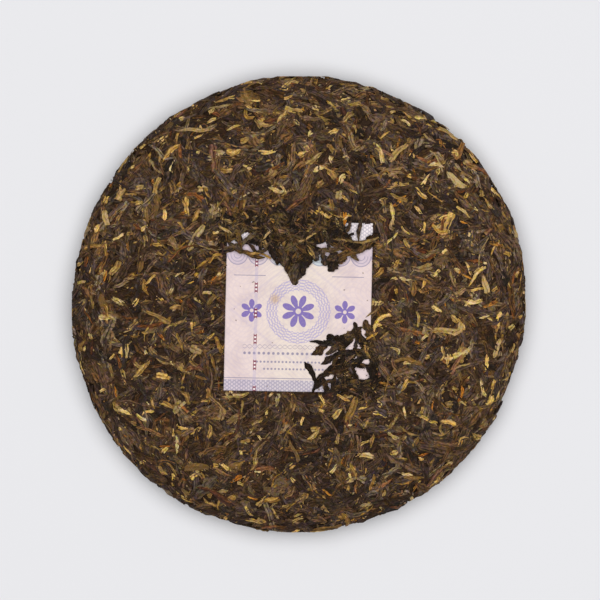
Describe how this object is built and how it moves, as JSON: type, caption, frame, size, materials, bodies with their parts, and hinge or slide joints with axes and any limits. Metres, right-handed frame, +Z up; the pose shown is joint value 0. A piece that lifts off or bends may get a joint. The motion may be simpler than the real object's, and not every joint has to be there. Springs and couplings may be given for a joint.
{
  "type": "pressed tea cake",
  "caption": "Round cake of compressed tea leaves with a domed face, a blunt rim, a dimpled back and a paper slip pressed into its face.",
  "frame": {"origin": "on the table under the middle of the cake, in the plane of the flattened leaves of its back", "axes": "+Z up out of the face with the paper slip, +Y towards the covered edge of the slip, +X to its right"},
  "size_m": [0.1997, 0.2007, 0.0225],
  "materials": {
    "pressed_tea": "dry dark brown twisted tea leaves with tan, olive and amber pieces, pressed flat, with a faint satin sheen",
    "slip_paper": "uncoated pale pink paper with a plain lilac print"
  },
  "bodies": {
    "root": {"tea_cake": "pressed_tea", "paper_slip": "slip_paper"}
  },
  "joints": []
}
